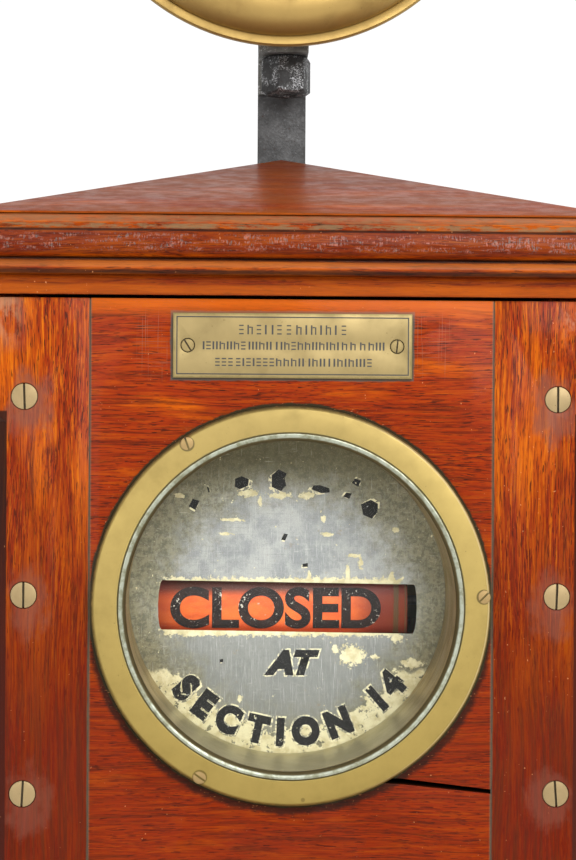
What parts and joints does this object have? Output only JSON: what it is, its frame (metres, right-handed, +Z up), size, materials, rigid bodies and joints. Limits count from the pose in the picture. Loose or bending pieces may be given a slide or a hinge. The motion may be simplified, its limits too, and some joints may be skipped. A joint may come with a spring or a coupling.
{
  "type": "railway signalling instrument",
  "caption": "Mahogany-cased railway block instrument with a brass-bezelled dial and turning flag, a push plunger, an electric lock and a brass-cased semaphore indicator on an iron strap.",
  "frame": {"origin": "middle of the case's underside", "axes": "+Z up, +X to the right seen from the front, -Y out of the dial"},
  "size_m": [0.264, 0.2363, 0.6905],
  "materials": {
    "mahogany": "varnished",
    "screw_brass": "worn",
    "brass": "lacquered, dulled",
    "glass": "clear",
    "zinc_dial": "dull zinc with worn paint",
    "enamel_dial": "enamelled",
    "flag_paint": "worn paint",
    "arm_paint": "gloss paint",
    "winding": "silk-covered wire",
    "ebonite": "satin",
    "black_iron": "black finish, worn",
    "steel": "bright"
  },
  "bodies": {
    "case": {"back_board": "mahogany", "base_board": "mahogany", "bead_ring": "brass", "bezel_screw_1": "screw_brass", "bezel_screw_2": "screw_brass", "bezel_screw_3": "screw_brass", "coil_left": "winding", "coil_right": "winding", "contact_block": "ebonite", "contact_leaf": "brass", "cornice_front": "mahogany", "cornice_left": "mahogany", "cornice_right": "mahogany", "dial_bezel": "brass", "dial_glass": "glass", "dial_plate": "zinc_dial", "dial_tube": "brass", "flag_frame": "brass", "front_panel": "mahogany", "head_bezel": "brass", "head_bolt": "black_iron", "head_bracket": "steel", "head_coil": "winding", "head_dial": "enamel_dial", "head_drum": "brass", "head_glass": "glass", "head_nut": "black_iron", "magnet_yoke": "black_iron", "name_plate": "brass", "plate_screw_left": "screw_brass", "plate_screw_right": "screw_brass", "plinth_front": "mahogany", "plinth_left": "mahogany", "plinth_right": "mahogany", "plunger_bush": "brass", "plunger_spring": "steel", "roof_cap": "mahogany", "side_left": "mahogany", "side_right": "mahogany", "stile_left": "mahogany", "stile_right": "mahogany", "stile_screw_1": "screw_brass", "stile_screw_2": "screw_brass", "stile_screw_3": "screw_brass", "stile_screw_4": "screw_brass", "stile_screw_5": "screw_brass", "stile_screw_6": "screw_brass", "stile_screw_7": "screw_brass", "stile_screw_8": "screw_brass", "strap": "black_iron", "terminal_block": "ebonite", "top_board": "mahogany"},
    "flag": {"flag_sheet": "flag_paint", "flag_shaft": "steel"},
    "lock_rod": {"lock_rod": "steel"},
    "armature": {"armature": "black_iron"},
    "plunger": {"plunger_knob": "brass", "plunger_rod": "steel"},
    "arm": {"semaphore_arm": "arm_paint", "arm_spindle": "steel"}
  },
  "joints": [
    {"name": "lock_rod_lift", "type": "slide", "parent": "case", "child": "lock_rod", "axis": [0, 0, 1], "range_m": [0, 0.01]},
    {"name": "flag_turn", "type": "hinge", "parent": "case", "child": "flag", "pos_m": [0, -0.016, 0.231], "axis": [1, 0, 0], "range_deg": [0, 42]},
    {"name": "armature_rock", "type": "hinge", "parent": "case", "child": "armature", "pos_m": [-0.017, 0.034, 0.183], "axis": [0, 1, 0], "range_deg": [0, 2.2], "stiffness_Nm_per_rad": 2, "springref_deg": -3.44},
    {"name": "plunger_push", "type": "slide", "parent": "case", "child": "plunger", "axis": [0, 1, 0], "range_m": [0, 0.008], "stiffness_N_per_m": 500, "springref_m": -0.012, "deforming": ["plunger_spring"]},
    {"name": "arm_drop", "type": "hinge", "parent": "case", "child": "arm", "pos_m": [0.028, 0.044, 0.603], "axis": [0, -1, 0], "range_deg": [0, 45], "stiffness_Nm_per_rad": 0.02, "springref_deg": -34.38}
  ],
  "couplings": [
    {"joint": "flag_turn", "follows": "lock_rod_lift", "rad_per_m": 72.46}
  ]
}
